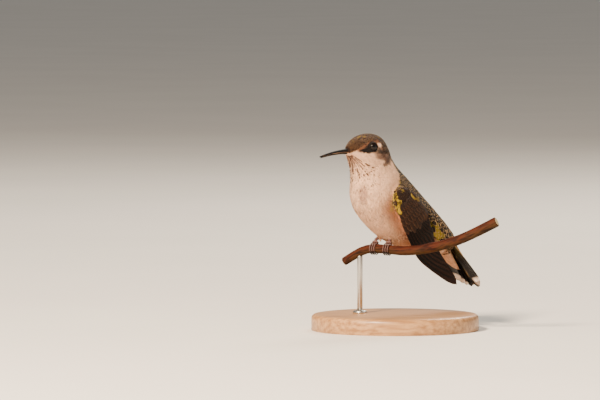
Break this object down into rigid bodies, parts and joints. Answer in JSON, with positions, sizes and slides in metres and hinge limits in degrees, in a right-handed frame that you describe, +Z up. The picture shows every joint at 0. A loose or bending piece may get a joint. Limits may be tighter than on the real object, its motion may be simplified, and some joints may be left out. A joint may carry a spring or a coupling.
{
  "type": "hummingbird",
  "caption": "Small hummingbird with a streaked throat, perched on a short cut plant stem above a round wooden display stand.",
  "frame": {"origin": "centre of the stand base's flat underside, on the surface that it stands on", "axes": "+Z up; the bird faces mostly towards -X, turned about 32 degrees towards -Y, with its tail towards +X"},
  "size_m": [0.0688, 0.062, 0.0732],
  "materials": {
    "crown_feathers": "matte brown crown feathers",
    "breast_feathers": "soft off-white breast feathers",
    "rump_feathers": "bronze-green back feathers with buff edges",
    "undertail_feathers": "soft white feathers",
    "wing_coverts": "green-bronze covert feathers",
    "flight_feathers": "dark purple-brown flight feathers",
    "tail_feathers": "dark tail feathers with white outer tips",
    "eye": "glossy black-brown",
    "bill_horn": "satin black horn",
    "leg_skin": "dull mauve scaly skin",
    "claw_horn": "dark horn",
    "stem": "reddish-brown plant stem, satin",
    "stand_wood": "oiled beech, satin",
    "stand_metal": "satin steel rod"
  },
  "bodies": {
    "root": {"bill_lower": "bill_horn", "bill_upper": "bill_horn", "claw_left_1": "claw_horn", "claw_left_2": "claw_horn", "claw_left_3": "claw_horn", "claw_left_4": "claw_horn", "claw_right_1": "claw_horn", "claw_right_2": "claw_horn", "claw_right_3": "claw_horn", "claw_right_4": "claw_horn", "eye_left": "eye", "eye_right": "eye", "head": "crown_feathers", "leg_left": "leg_skin", "leg_right": "leg_skin", "neck": "breast_feathers", "perch_stem": "stem", "rump": "rump_feathers", "stand_base": "stand_wood", "stand_rod": "stand_metal", "tail_feather_left_1": "tail_feathers", "tail_feather_left_2": "tail_feathers", "tail_feather_left_3": "tail_feathers", "tail_feather_left_4": "tail_feathers", "tail_feather_left_5": "tail_feathers", "tail_feather_right_1": "tail_feathers", "tail_feather_right_2": "tail_feathers", "tail_feather_right_3": "tail_feathers", "tail_feather_right_4": "tail_feathers", "tail_feather_right_5": "tail_feathers", "toe_left_1": "leg_skin", "toe_left_2": "leg_skin", "toe_left_3": "leg_skin", "toe_left_4": "leg_skin", "toe_right_1": "leg_skin", "toe_right_2": "leg_skin", "toe_right_3": "leg_skin", "toe_right_4": "leg_skin", "trunk": "breast_feathers", "undertail_coverts": "undertail_feathers", "wing_left": "wing_coverts", "wing_left_primaries": "flight_feathers", "wing_right": "wing_coverts", "wing_right_primaries": "flight_feathers"}
  },
  "joints": []
}
